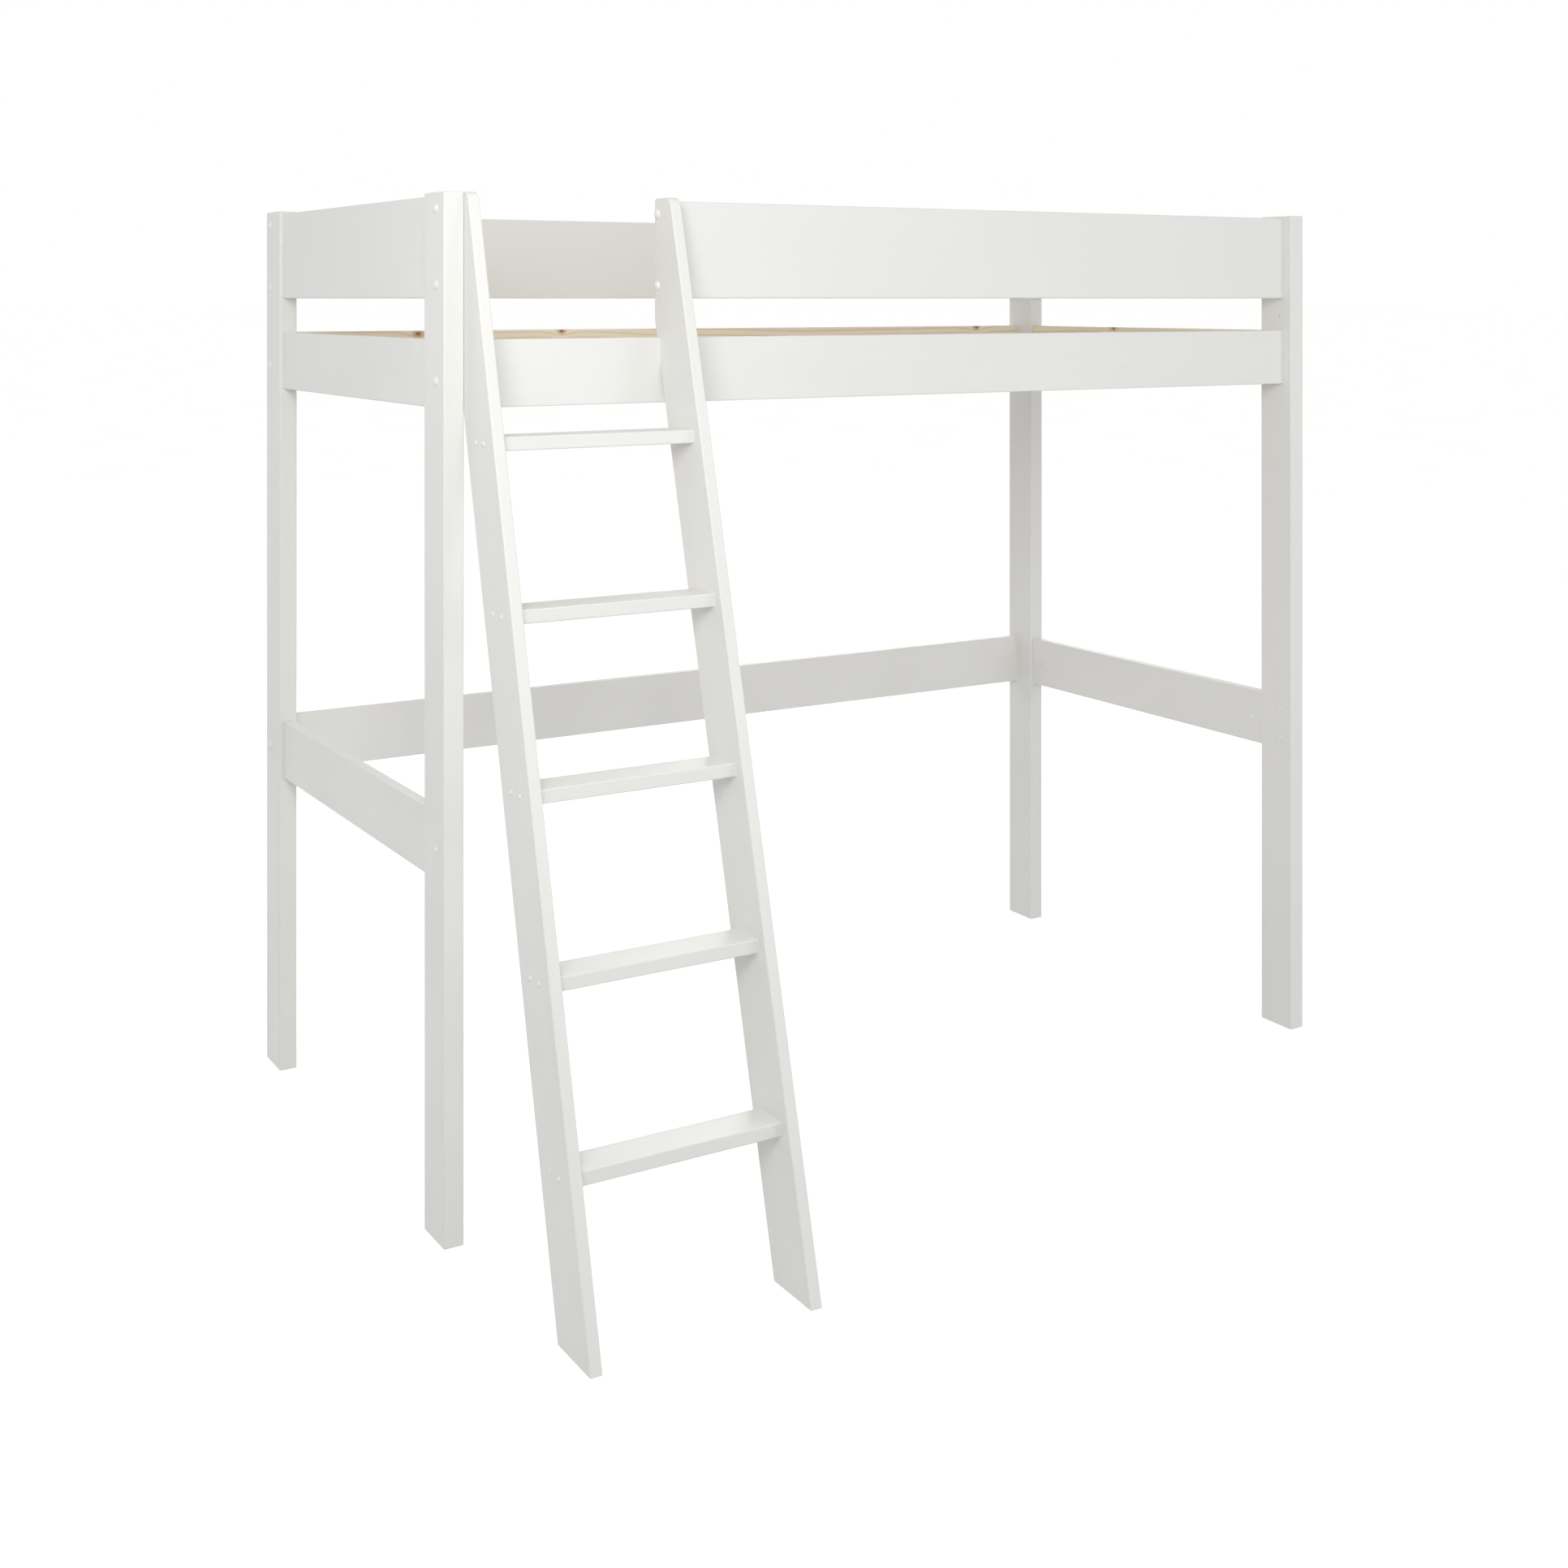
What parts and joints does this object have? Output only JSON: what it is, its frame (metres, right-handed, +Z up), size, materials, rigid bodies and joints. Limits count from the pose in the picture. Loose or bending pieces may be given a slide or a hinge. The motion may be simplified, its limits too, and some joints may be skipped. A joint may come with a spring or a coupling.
{
  "type": "loft bed",
  "caption": "High single bed on tall posts with guard panels, braces, a slatted base and a slanted wooden ladder at the front left.",
  "frame": {"origin": "centre of the whole footprint, ladder foot to wall side, on the floor", "axes": "+X along the bed towards the end away from the ladder, +Y from the ladder foot to the wall side, +Z up"},
  "size_m": [2.087, 1.478, 1.825],
  "materials": {
    "painted_panel": "smooth board, white satin lacquer",
    "painted_rail": "pine, white satin lacquer with faint grain, inner face left natural",
    "painted_pine": "pine, white satin lacquer with faint grain",
    "raw_pine": "planed natural pine",
    "webbing": "woven tape",
    "dowel_beech": "fluted beech",
    "white_plastic": "moulded, glossy",
    "zinc_casting": "die-cast zinc",
    "zinc_steel": "bright zinc plating"
  },
  "bodies": {
    "root": {"back_brace": "painted_pine", "back_guard": "painted_panel", "back_side_rail": "painted_rail", "bearer_screws": "zinc_steel", "bolt_caps_left": "white_plastic", "bolt_caps_right": "white_plastic", "end_brace_left": "painted_pine", "end_brace_right": "painted_pine", "end_cam_bolts": "zinc_steel", "end_cam_covers": "white_plastic", "end_cams": "zinc_casting", "end_guard_left": "painted_panel", "end_guard_right": "painted_panel", "end_rail_left": "painted_rail", "end_rail_right": "painted_rail", "frame_barrel_nuts": "zinc_steel", "frame_bolts": "zinc_steel", "frame_dowels": "dowel_beech", "front_guard": "painted_panel", "front_side_rail": "painted_rail", "hole_plugs": "white_plastic", "ladder_bolt_caps": "white_plastic", "ladder_guard_bolts": "zinc_steel", "ladder_insert_nuts": "zinc_steel", "ladder_post_bolts": "zinc_steel", "ladder_rail_screws": "zinc_steel", "ladder_rung_1": "painted_pine", "ladder_rung_2": "painted_pine", "ladder_rung_3": "painted_pine", "ladder_rung_4": "painted_pine", "ladder_rung_5": "painted_pine", "ladder_stringer_left": "painted_pine", "ladder_stringer_right": "painted_pine", "post_back_left": "painted_pine", "post_back_right": "painted_pine", "post_front_left": "painted_pine", "post_front_right": "painted_pine", "rung_screw_caps": "white_plastic", "rung_screws": "zinc_steel", "slat_01": "raw_pine", "slat_02": "raw_pine", "slat_03": "raw_pine", "slat_04": "raw_pine", "slat_05": "raw_pine", "slat_06": "raw_pine", "slat_07": "raw_pine", "slat_08": "raw_pine", "slat_09": "raw_pine", "slat_10": "raw_pine", "slat_11": "raw_pine", "slat_12": "raw_pine", "slat_13": "raw_pine", "slat_14": "raw_pine", "slat_15": "raw_pine", "slat_bearer_back": "raw_pine", "slat_bearer_front": "raw_pine", "slat_screws": "zinc_steel", "slat_strap_back": "webbing", "slat_strap_front": "webbing", "strap_staples": "zinc_steel"}
  },
  "joints": []
}
